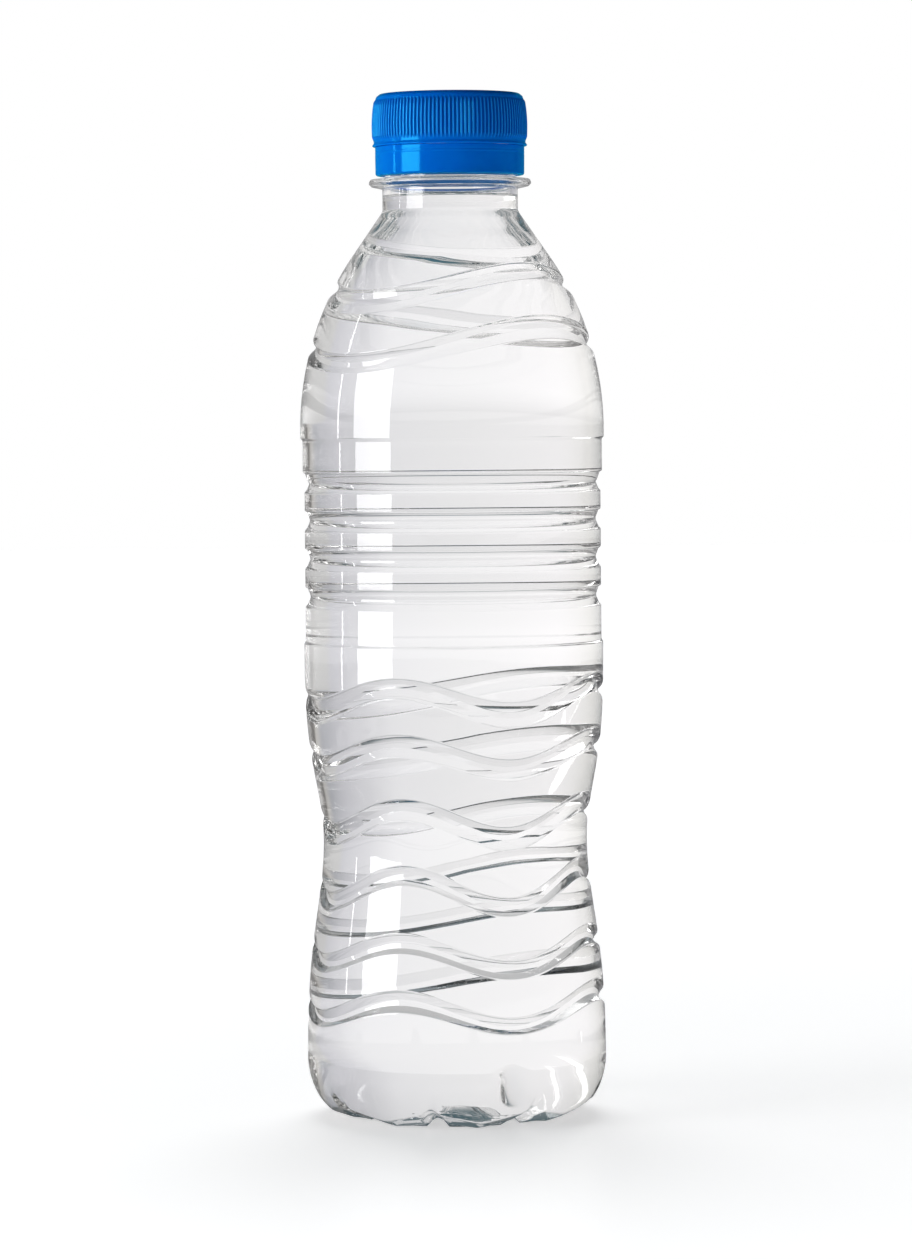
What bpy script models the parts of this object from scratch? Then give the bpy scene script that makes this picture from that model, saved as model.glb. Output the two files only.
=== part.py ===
"""Clear half-litre plastic water bottle, full, with a blue ribbed screw cap and its tamper band.

Metres, +Z up. The bottle stands on z = 0 with its axis on Z, so the cap and the band turn about Z.
Angles round the bottle are measured from +X towards +Y.
"""

import math

import bmesh
import bpy

MM = 0.001
TURN = 2 * math.pi

# Overall
TOP_OF_CAP = 214.2 * MM
BODY_RADIUS = 31.4 * MM
RUNNING_GAP = 0.3 * MM

# Blown body: the waist is a dip in the radius, wider below its middle than above it
WALL = 0.35 * MM
BASE_WALL = 0.5 * MM
WAIST_HEIGHT = 58.0 * MM
WAIST_DEPTH = 3.75 * MM
WAIST_SPREAD_BELOW = 21.5 * MM
WAIST_SPREAD_ABOVE = 17.0 * MM

# Ribbed grip: four ring grooves between two small steps in the radius, with a collar above them
GRIP_BOTTOM = 99.5 * MM
GRIP_TOP = 142.0 * MM
GRIP_RADIUS = 31.05 * MM
COLLAR_RADIUS = 31.4 * MM
STEP_WIDTH = 0.8 * MM
LOWEST_RING = 109.0 * MM
RING_PITCH = 8.0 * MM
RING_COUNT = 4
TOP_RING = LOWEST_RING + (RING_COUNT - 1) * RING_PITCH
RING_DEPTH = 1.15 * MM
RING_HALF_WIDTH = 2.1 * MM

# Lower grooves: each runs round the body as four waves, given as mean height and swing
LOWER_GROOVES = (
    (24.4 * MM, 2.85 * MM),
    (36.0 * MM, 2.65 * MM),
    (49.3 * MM, 3.35 * MM),
    (63.1 * MM, 3.10 * MM),
    (76.8 * MM, 2.50 * MM),
    (88.4 * MM, 3.20 * MM),
)
LOWER_WAVES = 4
LOWER_CREST = math.radians(-22)
LOWER_WAVES_START = 14.0 * MM
LOWER_WAVES_END = 98.5 * MM
LOWER_DEPTH = 1.2 * MM
LOWER_HALF_WIDTH = 2.0 * MM

# Shoulder: an arc, then a straight cone up to the neck, with two grooves of two waves each
SHOULDER_RADIUS = 31.9 * MM
SHOULDER_START = 144.0 * MM
SHOULDER_ARC = 64.3 * MM
CONE_START = 179.0 * MM
CONE_END = 189.6 * MM
SHOULDER_GROOVES = (
    (161.4 * MM, 4.05 * MM),
    (173.5 * MM, 3.20 * MM),
)
SHOULDER_WAVES = 2
SHOULDER_CREST = math.radians(-45)
SHOULDER_WAVES_START = 146.0 * MM
SHOULDER_WAVES_END = 187.0 * MM
SHOULDER_DEPTH = 1.1 * MM
SHOULDER_HALF_WIDTH = 2.1 * MM

# Base: eight feet with a groove between each two, round a raised middle
FEET = 8
FOOT_GROOVE_ANGLE = math.radians(33.5)
FOOT_GROOVE_HALF_ANGLE = math.radians(11)
FOOT_GROOVE_DEPTH = 2.4 * MM
PAD_OUTER_RADIUS = 22.3 * MM
PAD_INNER_RADIUS = 20.0 * MM
HEEL_HEIGHT = 13.0 * MM
HEEL_ANGLES = (68, 48, 30, 14)
# (radius, height, share of the foot groove's depth), from the middle out to the pads
PUSH_UP = (
    (6.0 * MM, 5.4 * MM, 0.0),
    (12.0 * MM, 4.0 * MM, 0.2),
    (17.0 * MM, 1.3 * MM, 0.6),
)
MIDDLE_HEIGHT = 5.6 * MM
MIDDLE_WALL = 1.4 * MM

# Neck finish, moulded: (radius, height) up the outside from the cone to the lip
NECK_RADIUS = 14.2 * MM
THREAD_ROOT = 13.7 * MM
LIP_HEIGHT = 212.4 * MM
BORE_RADIUS = 12.0 * MM
NECK_OUTSIDE = (
    (NECK_RADIUS, 190.4 * MM),
    (NECK_RADIUS, 194.1 * MM),
    (16.95 * MM, 195.1 * MM),
    (16.95 * MM, 196.0 * MM),
    (THREAD_ROOT, 196.5 * MM),
    (THREAD_ROOT, 198.8 * MM),
    (14.45 * MM, 199.4 * MM),
    (14.45 * MM, 200.0 * MM),
    (THREAD_ROOT, 200.9 * MM),
    (THREAD_ROOT, 211.8 * MM),
    (THREAD_ROOT - 0.6 * MM, LIP_HEIGHT),
)
BORE = (
    (BORE_RADIUS + 0.4 * MM, LIP_HEIGHT),
    (BORE_RADIUS, LIP_HEIGHT - 0.5 * MM),
    (BORE_RADIUS, 193.0 * MM),
)
# (height, wall) where the moulded neck thins into the blown shoulder
NECK_WALLS = ((181.0 * MM, WALL), (186.0 * MM, 0.9 * MM), (CONE_END, 2.0 * MM))

# Screw thread, one start: the cap's ridge runs half a pitch below the neck's
PITCH = 3.2 * MM
THREAD_START = 203.0 * MM
NECK_THREAD_CREST = 14.6 * MM
NECK_THREAD_TURNS = (0.0, 2.0)
CAP_THREAD_CREST = 14.1 * MM
CAP_THREAD_TURNS = (0.9, 2.4)
RIDGE_BASE_WIDTH = 1.5 * MM
RIDGE_CREST_WIDTH = 0.7 * MM
RIDGE_RUN_OUT = 0.08
RIDGE_STEPS_A_TURN = 20
RIDGE_SUNK = 0.45 * MM

# Cap
CAP_BOTTOM = 203.2 * MM
CAP_INNER_RADIUS = 14.9 * MM
CAP_INNER_TOP = LIP_HEIGHT + RUNNING_GAP
PLUG_OUTER_RADIUS = BORE_RADIUS - RUNNING_GAP
PLUG_INNER_RADIUS = 10.8 * MM
PLUG_BOTTOM = 210.0 * MM
RIB_COUNT = 120
RIB_DEPTH = 0.35 * MM
# (radius, height, share of the ribs' depth) up the outside of the cap
CAP_OUTSIDE = (
    (16.3 * MM, CAP_BOTTOM, 0.0),
    (16.4 * MM, 205.0 * MM, 0.0),
    (16.4 * MM, 205.5 * MM, 1.0),
    (16.2 * MM, 211.2 * MM, 1.0),
    (15.3 * MM, 213.6 * MM, 0.0),
    (14.5 * MM, TOP_OF_CAP, 0.0),
)

# Tamper band: (radius, height), outside bottom to top, then down the inside over the catch lip
BAND_OUTER_RADIUS = 15.7 * MM
BAND_INNER_RADIUS = 14.85 * MM
BAND_TOP = CAP_BOTTOM - RUNNING_GAP
BAND_SECTION = (
    (15.3 * MM, 197.1 * MM),
    (BAND_OUTER_RADIUS, 197.6 * MM),
    (BAND_OUTER_RADIUS, 202.4 * MM),
    (15.45 * MM, BAND_TOP),
    (BAND_INNER_RADIUS, BAND_TOP),
    (BAND_INNER_RADIUS, 199.1 * MM),
    (THREAD_ROOT + RUNNING_GAP, 198.3 * MM),
    (THREAD_ROOT + RUNNING_GAP, 197.4 * MM),
    (14.4 * MM, 197.1 * MM),
)

# Water: a turned solid inside every groove, up to just under the support ring
WATER_LEVEL = 193.0 * MM
WATER_GAP = 0.35 * MM
WATER_NECK_START = 186.5 * MM
WATER_SEGMENTS = 40
WATER_HEIGHTS = (
    *(height * MM for height in range(18, 98, 8)),
    101.0 * MM,
    141.0 * MM,
    *(height * MM for height in range(152, 179, 9)),
)

CONTAINER_SEGMENTS = 40
BAND_SEGMENTS = 48
CAVITY_SEGMENTS = 48

PET = ((0.93, 0.96, 0.97, 0.25), 0.05)
WATER = ((0.90, 0.95, 0.98, 0.25), 0.02)
BLUE_HDPE = ((0.005, 0.12, 0.55, 1.0), 0.35)


def clear_scene():
    for obj in list(bpy.data.objects):
        bpy.data.objects.remove(obj, do_unlink=True)


def smooth(low, high, value):
    """0 below low, 1 above high, with an even ease between them."""
    share = min(max((value - low) / (high - low), 0.0), 1.0)
    return share * share * (3 - 2 * share)


def between(points, value):
    """Straight interpolation in a list of (place, amount), held level past both ends."""
    if value <= points[0][0]:
        return points[0][1]
    for (low, start), (high, end) in zip(points, points[1:]):
        if value <= high:
            return start + (end - start) * (value - low) / (high - low)
    return points[-1][1]


def groove(distance, half_width):
    """Depth share of a groove with a flat floor a quarter of its width wide."""
    return 1 - smooth(0.25 * half_width, half_width, abs(distance))


# The blown body is swept by a level, the height before the waves bend it, and an angle.


def wave_lift(level, angle):
    """How far the waves lift or lower the wall at a level."""
    lower = ((LOWER_WAVES_START, 0), *LOWER_GROOVES, (LOWER_WAVES_END, 0))
    upper = ((SHOULDER_WAVES_START, 0), *SHOULDER_GROOVES, (SHOULDER_WAVES_END, 0))
    lift = between(lower, level) * math.cos(LOWER_WAVES * (angle - LOWER_CREST))
    return lift + between(upper, level) * math.cos(SHOULDER_WAVES * (angle - SHOULDER_CREST))


def plain_radius(height):
    """Radius of the turned shape that the grooves are sunk into."""
    if height > CONE_START:
        at_start = plain_radius(CONE_START)
        return between(((CONE_START, at_start), (CONE_END, NECK_RADIUS)), height)
    if height > SHOULDER_START:
        rise = height - SHOULDER_START
        return SHOULDER_RADIUS - SHOULDER_ARC + math.sqrt(SHOULDER_ARC**2 - rise**2)
    spread = WAIST_SPREAD_ABOVE if height > WAIST_HEIGHT else WAIST_SPREAD_BELOW
    waisted = BODY_RADIUS - WAIST_DEPTH * math.exp(-(((height - WAIST_HEIGHT) / spread) ** 2))
    grip = smooth(GRIP_BOTTOM - STEP_WIDTH / 2, GRIP_BOTTOM + STEP_WIDTH / 2, height)
    collar = smooth(TOP_RING - STEP_WIDTH / 2, TOP_RING + STEP_WIDTH / 2, height)
    top = smooth(GRIP_TOP - STEP_WIDTH / 2, GRIP_TOP + STEP_WIDTH / 2, height)
    gripped = waisted + grip * (GRIP_RADIUS - waisted)
    return gripped + collar * (COLLAR_RADIUS - GRIP_RADIUS) + top * (SHOULDER_RADIUS - COLLAR_RADIUS)


def groove_depth(level):
    depth = 0.0
    for ring in range(RING_COUNT):
        depth += RING_DEPTH * groove(level - LOWEST_RING - ring * RING_PITCH, RING_HALF_WIDTH)
    for height, _ in LOWER_GROOVES:
        depth += LOWER_DEPTH * groove(level - height, LOWER_HALF_WIDTH)
    for height, _ in SHOULDER_GROOVES:
        depth += SHOULDER_DEPTH * groove(level - height, SHOULDER_HALF_WIDTH)
    return depth


def body_point(level, angle):
    height = level + wave_lift(level, angle)
    return plain_radius(height) - groove_depth(level), height


def body_levels():
    """The levels that hold a row of points: both edges and the floor of each groove, and each step."""
    levels = [LOWER_WAVES_START]
    for height, _ in LOWER_GROOVES:
        levels += [height - LOWER_HALF_WIDTH, height, height + LOWER_HALF_WIDTH]
    levels += [GRIP_BOTTOM - STEP_WIDTH / 2, GRIP_BOTTOM + STEP_WIDTH / 2]
    for ring in range(RING_COUNT):
        middle = LOWEST_RING + ring * RING_PITCH
        levels += [middle - RING_HALF_WIDTH, middle, middle + RING_HALF_WIDTH]
    levels += [GRIP_TOP - STEP_WIDTH / 2, GRIP_TOP + STEP_WIDTH / 2, 151.0 * MM]
    for height, _ in SHOULDER_GROOVES:
        levels += [height - SHOULDER_HALF_WIDTH, height, height + SHOULDER_HALF_WIDTH]
    return levels + [CONE_START, 184.5 * MM]


def foot_groove(angle):
    """1 in the middle of a groove between two feet, 0 on the feet."""
    pitch = TURN / FEET
    away = (angle - FOOT_GROOVE_ANGLE + pitch / 2) % pitch - pitch / 2
    return 1 - smooth(0, FOOT_GROOVE_HALF_ANGLE, abs(away))


def base_stations():
    """(radius, height, groove share, inward direction) from the middle of the base to the wall."""
    stations = [(radius, height, share, (0, 1)) for radius, height, share in PUSH_UP]
    stations.append((PAD_INNER_RADIUS, 0.0, 1.0, (0, 1)))
    stations.append((PAD_OUTER_RADIUS, 0.0, 1.0, (0, 1)))
    heel_width = BODY_RADIUS - PAD_OUTER_RADIUS
    for degrees in HEEL_ANGLES:
        cos, sin = math.cos(math.radians(degrees)), math.sin(math.radians(degrees))
        radius = PAD_OUTER_RADIUS + heel_width * cos
        height = HEEL_HEIGHT * (1 - sin)
        share = smooth(5, 50, degrees)
        stations.append((radius, height, share, (-cos, sin)))
    return stations


def base_ring(station, angle, inset):
    radius, height, share, (inward, upward) = station
    depth = FOOT_GROOVE_DEPTH * share * foot_groove(angle) + inset
    return radius + depth * inward, height + depth * upward


def wall_at(height):
    return between(NECK_WALLS, height)


def ring_of_points(point_at):
    """One row of vertices round the axis, from a function of the angle that gives radius and height."""
    row = []
    for step in range(CONTAINER_SEGMENTS):
        angle = FOOT_GROOVE_ANGLE + TURN * step / CONTAINER_SEGMENTS
        radius, height = point_at(angle)
        row.append((radius * math.cos(angle), radius * math.sin(angle), height))
    return row


def container_rows():
    """Rows of the container, up the outside from the base to the lip and down the inside."""
    outside = [ring_of_points(lambda a, s=s: base_ring(s, a, 0.0)) for s in base_stations()]
    outside += [ring_of_points(lambda a, v=v: body_point(v, a)) for v in body_levels()]
    outside += [ring_of_points(lambda a, p=p: p) for p in NECK_OUTSIDE]
    inside = [ring_of_points(lambda a, p=p: p) for p in BORE]
    for level in reversed(body_levels()):
        inside.append(ring_of_points(lambda a, v=level: inner_body_point(v, a)))
    for station in reversed(base_stations()):
        inside.append(ring_of_points(lambda a, s=station: base_ring(s, a, BASE_WALL)))
    return outside + inside


def inner_body_point(level, angle):
    radius, height = body_point(level, angle)
    return radius - wall_at(height), height


def mesh_from(name, vertices, faces):
    mesh = bpy.data.meshes.new(name)
    mesh.from_pydata(vertices, [], faces)
    mesh.validate()
    obj = bpy.data.objects.new(name, mesh)
    bpy.context.collection.objects.link(obj)
    return obj


def lofted(name, rows, first_pole, last_pole):
    """A closed surface over rows of points, shut by a fan at each end. Faces point away from the
    axis where the rows climb."""
    count = len(rows[0])
    vertices = [point for row in rows for point in row] + [first_pole, last_pole]
    first, last = len(vertices) - 2, len(vertices) - 1
    faces = []
    for index in range(count):
        after = (index + 1) % count
        faces.append((first, after, index))
        for row in range(len(rows) - 1):
            low, high = row * count, (row + 1) * count
            faces.append((low + index, low + after, high + after))
            faces.append((low + index, high + after, high + index))
        top = (len(rows) - 1) * count
        faces.append((top + index, top + after, last))
    return mesh_from(name, vertices, faces)


def turned(name, section, segments):
    """A solid of revolution from a closed (radius, height) outline, given anticlockwise with the
    radius to the right. Where the outline lies on the axis its points become poles."""
    poles = [point for point in section if point[0] == 0]
    rings = [point for point in section if point[0] > 0]
    rows = []
    for radius, height in rings:
        angles = [TURN * step / segments for step in range(segments)]
        rows.append([(radius * math.cos(a), radius * math.sin(a), height) for a in angles])
    if poles:
        ends = [(0.0, 0.0, height) for _, height in poles]
        return lofted(name, rows, ends[0], ends[1])
    vertices = [point for row in rows for point in row]
    faces = []
    for row in range(len(rows)):
        low, high = row * segments, (row + 1) % len(rows) * segments
        for index in range(segments):
            after = (index + 1) % segments
            faces.append((low + index, low + after, high + after, high + index))
    return mesh_from(name, vertices, faces)


def thread_ridge(name, root, crest, turns, drop):
    """A helical ridge of trapezoid section, sunk into its wall at the root, fading in at both ends."""
    first, last = turns
    outward = 1 if crest > root else -1
    sunk = root - outward * RIDGE_SUNK
    steps = round((last - first) * RIDGE_STEPS_A_TURN)
    mesh = bmesh.new()
    sections = []
    for step in range(steps + 1):
        turn = first + (last - first) * step / steps
        grown = min(1.0, (turn - first) / RIDGE_RUN_OUT, (last - turn) / RIDGE_RUN_OUT)
        peak = sunk + (crest - sunk) * (0.25 + 0.75 * grown)
        middle = THREAD_START - drop + PITCH * turn
        corners = (
            (sunk, -RIDGE_BASE_WIDTH / 2),
            (peak, -RIDGE_CREST_WIDTH / 2),
            (peak, RIDGE_CREST_WIDTH / 2),
            (sunk, RIDGE_BASE_WIDTH / 2),
        )
        angle = TURN * turn
        ring = []
        for radius, offset in corners:
            place = (radius * math.cos(angle), radius * math.sin(angle), middle + offset)
            ring.append(mesh.verts.new(place))
        sections.append(ring)
    for back, front in zip(sections, sections[1:]):
        for corner in range(4):
            after = (corner + 1) % 4
            mesh.faces.new((back[corner], back[after], front[after], front[corner]))
    mesh.faces.new(sections[0])
    mesh.faces.new(sections[-1])
    bmesh.ops.recalc_face_normals(mesh, faces=mesh.faces)
    data = bpy.data.meshes.new(name)
    mesh.to_mesh(data)
    mesh.free()
    obj = bpy.data.objects.new(name, data)
    bpy.context.collection.objects.link(obj)
    return obj


def combine(target, tool, operation):
    """Boolean of a helper with a piece. The helper stays as a wire guide that isn't rendered."""
    tool.hide_render = True
    tool.display_type = "WIRE"
    modifier = target.modifiers.new(tool.name, "BOOLEAN")
    modifier.operation = operation
    modifier.solver = "EXACT"
    modifier.object = tool


def finish(obj, look, sharp_degrees):
    colour, roughness = look
    material = bpy.data.materials.new(obj.name)
    material.use_nodes = True
    principled = material.node_tree.nodes["Principled BSDF"]
    principled.inputs["Base Color"].default_value = colour
    principled.inputs["Alpha"].default_value = colour[3]
    principled.inputs["Roughness"].default_value = roughness
    principled.inputs["Metallic"].default_value = 0.0
    obj.data.materials.append(material)
    obj.data.shade_smooth()
    obj.data.set_sharp_from_angle(angle=math.radians(sharp_degrees))


def make_bottle():
    middle = (0.0, 0.0, MIDDLE_HEIGHT)
    inner_middle = (0.0, 0.0, MIDDLE_HEIGHT + MIDDLE_WALL)
    bottle = lofted("bottle", container_rows(), middle, inner_middle)
    ridge = thread_ridge("neck_thread", THREAD_ROOT, NECK_THREAD_CREST, NECK_THREAD_TURNS, 0.0)
    combine(bottle, ridge, "UNION")
    finish(bottle, PET, 35)
    return bottle


def water_section():
    """Outline of the water, inside the deepest groove at every height, from the base up to its level."""
    clearance = WALL + WATER_GAP
    floor = MIDDLE_HEIGHT + MIDDLE_WALL + WATER_GAP
    section = [(0.0, floor), (PUSH_UP[0][0], floor)]
    for radius, height, share, (inward, upward) in base_stations()[1:]:
        depth = FOOT_GROOVE_DEPTH * share + BASE_WALL + WATER_GAP
        section.append((radius + depth * inward, height + depth * upward))
    for height in WATER_HEIGHTS:
        radius = plain_radius(height) - LOWER_DEPTH - clearance
        section.append((radius, height))
    section.append((BORE_RADIUS - WATER_GAP, WATER_NECK_START))
    section.append((BORE_RADIUS - WATER_GAP, WATER_LEVEL))
    section.append((0.0, WATER_LEVEL))
    return section


def make_water():
    water = turned("water", water_section(), WATER_SEGMENTS)
    finish(water, WATER, 35)
    return water


def make_cap():
    points = RIB_COUNT * 2
    rows = []
    for radius, height, share in CAP_OUTSIDE:
        row = []
        for index in range(points):
            angle = TURN * index / points
            sunk = radius - RIB_DEPTH * share * (index % 2)
            row.append((sunk * math.cos(angle), sunk * math.sin(angle), height))
        rows.append(row)
    cap = lofted("cap", rows, (0.0, 0.0, CAP_BOTTOM), (0.0, 0.0, TOP_OF_CAP))
    below = CAP_BOTTOM - 3 * MM
    cavity_section = (
        (0.0, below),
        (CAP_INNER_RADIUS, below),
        (CAP_INNER_RADIUS, CAP_INNER_TOP),
        (PLUG_OUTER_RADIUS, CAP_INNER_TOP),
        (PLUG_OUTER_RADIUS, PLUG_BOTTOM),
        (PLUG_INNER_RADIUS, PLUG_BOTTOM),
        (PLUG_INNER_RADIUS, CAP_INNER_TOP),
        (0.0, CAP_INNER_TOP),
    )
    combine(cap, turned("cap_cavity", cavity_section, CAVITY_SEGMENTS), "DIFFERENCE")
    ridge = thread_ridge("cap_thread", CAP_INNER_RADIUS, CAP_THREAD_CREST, CAP_THREAD_TURNS, PITCH / 2)
    combine(cap, ridge, "UNION")
    finish(cap, BLUE_HDPE, 30)
    return cap


def make_tamper_band():
    band = turned("tamper_band", BAND_SECTION, BAND_SEGMENTS)
    finish(band, BLUE_HDPE, 30)
    return band


clear_scene()
make_bottle()
make_water()
make_cap()
make_tamper_band()
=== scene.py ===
"""Looks of a clear plastic water bottle, full and closed by a blue ribbed screw cap.

The file is laid out as a Blender add-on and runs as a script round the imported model. Metres, +Z up.
The bottle stands on z = 0 with its axis on Z. Angles round it are measured from +X towards +Y.
"""

import math

import bpy
from bpy.props import FloatProperty, FloatVectorProperty, IntProperty, PointerProperty
from bpy.types import Operator, Panel, PropertyGroup
from mathutils import Matrix, Vector


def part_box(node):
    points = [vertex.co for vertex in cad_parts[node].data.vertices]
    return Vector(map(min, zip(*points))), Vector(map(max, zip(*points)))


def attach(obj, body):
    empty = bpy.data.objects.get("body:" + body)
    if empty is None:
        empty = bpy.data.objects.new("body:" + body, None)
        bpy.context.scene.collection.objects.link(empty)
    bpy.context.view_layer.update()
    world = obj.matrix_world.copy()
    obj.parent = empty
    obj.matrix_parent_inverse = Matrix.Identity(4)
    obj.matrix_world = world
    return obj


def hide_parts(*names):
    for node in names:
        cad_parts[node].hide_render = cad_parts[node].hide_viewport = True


bl_info = {
    "name": "Clear Water Bottle",
    "version": (1, 0, 0),
    "blender": (4, 5, 0),
    "location": "View3D > Sidebar > Bottle",
    "description": "Fine meshes, materials, lights and camera for a full plastic water bottle",
    "category": "Object",
}

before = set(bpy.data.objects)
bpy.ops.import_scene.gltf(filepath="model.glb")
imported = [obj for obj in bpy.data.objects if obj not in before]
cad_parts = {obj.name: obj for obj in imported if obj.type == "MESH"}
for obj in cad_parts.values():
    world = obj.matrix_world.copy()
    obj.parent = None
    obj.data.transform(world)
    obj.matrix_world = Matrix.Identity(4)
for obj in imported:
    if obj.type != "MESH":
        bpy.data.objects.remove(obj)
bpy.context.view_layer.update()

MM = 0.001
TURN = 2 * math.pi
# Points nearer to each other than this are one
MERGE = 0.004 * MM
MOST_TRIANGLES = 200000
# A corner with a rounding no larger than this is drawn as one chord
TIGHT = 0.16 * MM
# Longest steps between the rows of points up the wall, the cone, a step in the wall and the thread
ROW_SPACING = 3.0 * MM
CONE_ROW_SPACING = 1.0 * MM
STEP_ROW_SPACING = 0.2 * MM
THREAD_ROW_SPACING = 0.25 * MM
# Refractive indices, and the spacing of the blown wall's unevenness
PET_IOR = 1.575
WATER_IOR = 1.333
RIPPLE_SPACING = 9.0 * MM

# Blown body, as in the construction: the waist is a dip, wider below its middle than above it
BODY_RADIUS = 31.4 * MM
WAIST_HEIGHT = 58.0 * MM
WAIST_DEPTH = 3.75 * MM
WAIST_SPREAD_BELOW = 21.5 * MM
WAIST_SPREAD_ABOVE = 17.0 * MM
GRIP_BOTTOM = 99.5 * MM
GRIP_TOP = 142.0 * MM
GRIP_RADIUS = 31.05 * MM
COLLAR_RADIUS = 31.4 * MM
STEP_WIDTH = 0.8 * MM
RING_HEIGHTS = tuple(height * MM for height in (109.0, 117.0, 125.0, 133.0))
RING_DEPTH = 1.05 * MM

# Wave grooves: (mean height, swing), four waves round the body and two round the shoulder
LOWER_GROOVES = (
    (24.4 * MM, 2.85 * MM),
    (36.0 * MM, 2.65 * MM),
    (49.3 * MM, 3.35 * MM),
    (63.1 * MM, 3.10 * MM),
    (76.8 * MM, 2.50 * MM),
    (88.4 * MM, 3.20 * MM),
)
# How much higher the two lowest grooves run at the back than in front, by mean height
BACK_RISE = (
    (LOWER_GROOVES[0][0], 1.3 * MM),
    (LOWER_GROOVES[1][0], 2.0 * MM),
    (LOWER_GROOVES[2][0], 0.0),
)
LOWER_WAVES = 4
LOWER_CREST = math.radians(-22)
LOWER_WAVES_START = 14.0 * MM
LOWER_WAVES_END = 98.5 * MM
LOWER_DEPTH = 1.2 * MM
SHOULDER_RADIUS = 31.85 * MM
SHOULDER_START = 144.0 * MM
SHOULDER_ARC = 64.3 * MM
CONE_START = 179.0 * MM
CONE_END = 189.6 * MM
SHOULDER_GROOVES = (
    (161.4 * MM, 4.05 * MM),
    (173.5 * MM, 3.20 * MM),
)
SHOULDER_WAVES = 2
SHOULDER_CREST = math.radians(-45)
SHOULDER_WAVES_START = 146.0 * MM
SHOULDER_WAVES_END = 187.0 * MM
SHOULDER_DEPTH = 1.1 * MM

# A groove's widths, from its lower edge up: lip, lower flank, floor, upper flank, lip.
# One lip is steep and the other gentle, and each takes up half a millimetre of the depth.
LIP_DEPTH = 0.5 * MM
# Plain wall between a groove's edge and the next row of points
MARGIN = 0.3 * MM
LOW_WAVE = (0.26 * MM, 0.75 * MM, 1.1 * MM, 1.3 * MM, 0.5 * MM)
HIGH_WAVE = (0.5 * MM, 1.4 * MM, 1.0 * MM, 1.4 * MM, 0.24 * MM)
RING = (0.6 * MM, 1.3 * MM, 0.5 * MM, 1.5 * MM, 0.3 * MM)
SHOULDER_WAVE = (0.45 * MM, 1.1 * MM, 1.1 * MM, 1.2 * MM, 0.35 * MM)

# Base: eight feet with a groove between each two, round a raised middle
FEET = 8
FOOT_GROOVE_ANGLE = math.radians(33.5)
FOOT_GROOVE_ROUNDING = 2.2 * MM
FOOT_GROOVE_DEPTH = 1.4 * MM
# Two (radius, height) points on the straight floor of a foot groove, where it leaves the heel
FOOT_GROOVE_SLOPE = ((25.2 * MM, 1.0 * MM), (29.5 * MM, 6.3 * MM))
# Slopes of the heel, in degrees, between which the groove grows to its full depth
FOOT_GROOVE_FADE = (45, 85)
# The wide valley between two feet: where it starts, its rise outwards and its fall to both sides
VALLEY_START = 19.0 * MM
VALLEY_RISE = 0.41
VALLEY_SIDE = 0.16
# How strongly low rows draw their points together at the foot grooves, and the heights where that fades
GATHER = 0.7
GATHER_FADE = (10.0 * MM, 20.0 * MM)
HEEL_STEPS = 22
PAD_OUTER_RADIUS = 22.3 * MM
PAD_INNER_RADIUS = 20.0 * MM
HEEL_HEIGHT = 13.0 * MM
# (radius, height, share of the foot groove's depth) from the middle to the pads
PUSH_UP = (
    (0.0, 5.6 * MM, 0.0),
    (6.0 * MM, 5.4 * MM, 0.0),
    (12.0 * MM, 4.0 * MM, 0.2),
    (17.0 * MM, 1.3 * MM, 0.6),
    (PAD_INNER_RADIUS, 0.0, 1.0),
)

# Neck finish
NECK_RADIUS = 14.2 * MM
THREAD_ROOT = 13.7 * MM
BORE_RADIUS = 12.7 * MM
LIP_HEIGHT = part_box("bottle")[1].z
PITCH = 3.2 * MM
THREAD_START = 203.0 * MM
THREAD_CREST = 14.6 * MM
THREAD_TURNS = 2.0
# Share of a turn over which the thread rises at its start and sinks at its end
THREAD_RUN_OUT = 0.06
# Half widths of the thread at its crest and at its root
THREAD_FLANK = (0.3 * MM, 0.8 * MM)
# The base's wall and the heights between which it thins to the blown wall
BASE_WALL = 0.5 * MM
BASE_WALL_FADE = (5.0 * MM, 14.0 * MM)
# (height, wall) where the moulded neck thickens above the blown shoulder
NECK_WALL_START = 181.0 * MM
NECK_WALLS = ((186.0 * MM, 0.7 * MM), (CONE_END, 1.3 * MM))

# Closure
RIB_BOTTOM = 204.3 * MM
RIB_TOP = 212.9 * MM
POINTS_A_RIB = 8
# Lengths over which a rib is drawn to a point below and rounded off above
RIB_POINT = 0.9 * MM
RIB_ROUNDING = 0.5 * MM
# Cosines across a rib between which its crest's painted highlight grows, and heights over which the ribs'
# painted shade and highlight fade
CREST_EDGE = (0.3, 0.9)
SHADE_FADE_LOW = 1.0 * MM
SHADE_FADE_HIGH = 0.6 * MM
# (height, radius) of the cap's side between its ribs
CAP_SIDE = (
    (203.9 * MM, 15.92 * MM),
    (205.5 * MM, 16.0 * MM),
    (207.5 * MM, 16.05 * MM),
    (209.5 * MM, 15.98 * MM),
    (211.3 * MM, 15.8 * MM),
    (212.9 * MM, 15.55 * MM),
)
CAP_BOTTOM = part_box("cap")[0].z
CAP_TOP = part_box("cap")[1].z
CAP_FOOT_RADIUS = 15.6 * MM
CAP_BORE_RADIUS = 14.9 * MM
CROWN_THICKNESS = 1.5 * MM
PLUG_INNER_RADIUS = 10.8 * MM
PLUG_OUTER_RADIUS = 11.7 * MM
PLUG_LENGTH = 2.7 * MM
BAND_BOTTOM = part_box("tamper_band")[0].z
BAND_RADIUS = 15.65 * MM
BAND_BORE_RADIUS = 14.85 * MM
CATCH_RADIUS = 14.0 * MM
# Gap between the band and the cap that it is slit from
SLIT = 0.06 * MM
SCORE_HEIGHTS = (201.5 * MM, 202.15 * MM)
SCORE_DEPTH = 0.06 * MM
SCORE_HALF_WIDTH = 0.12 * MM
# Faces turned to the axis, and nearer to it than this, are the closure's inside
INSIDE_RADIUS = 15.1 * MM
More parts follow.
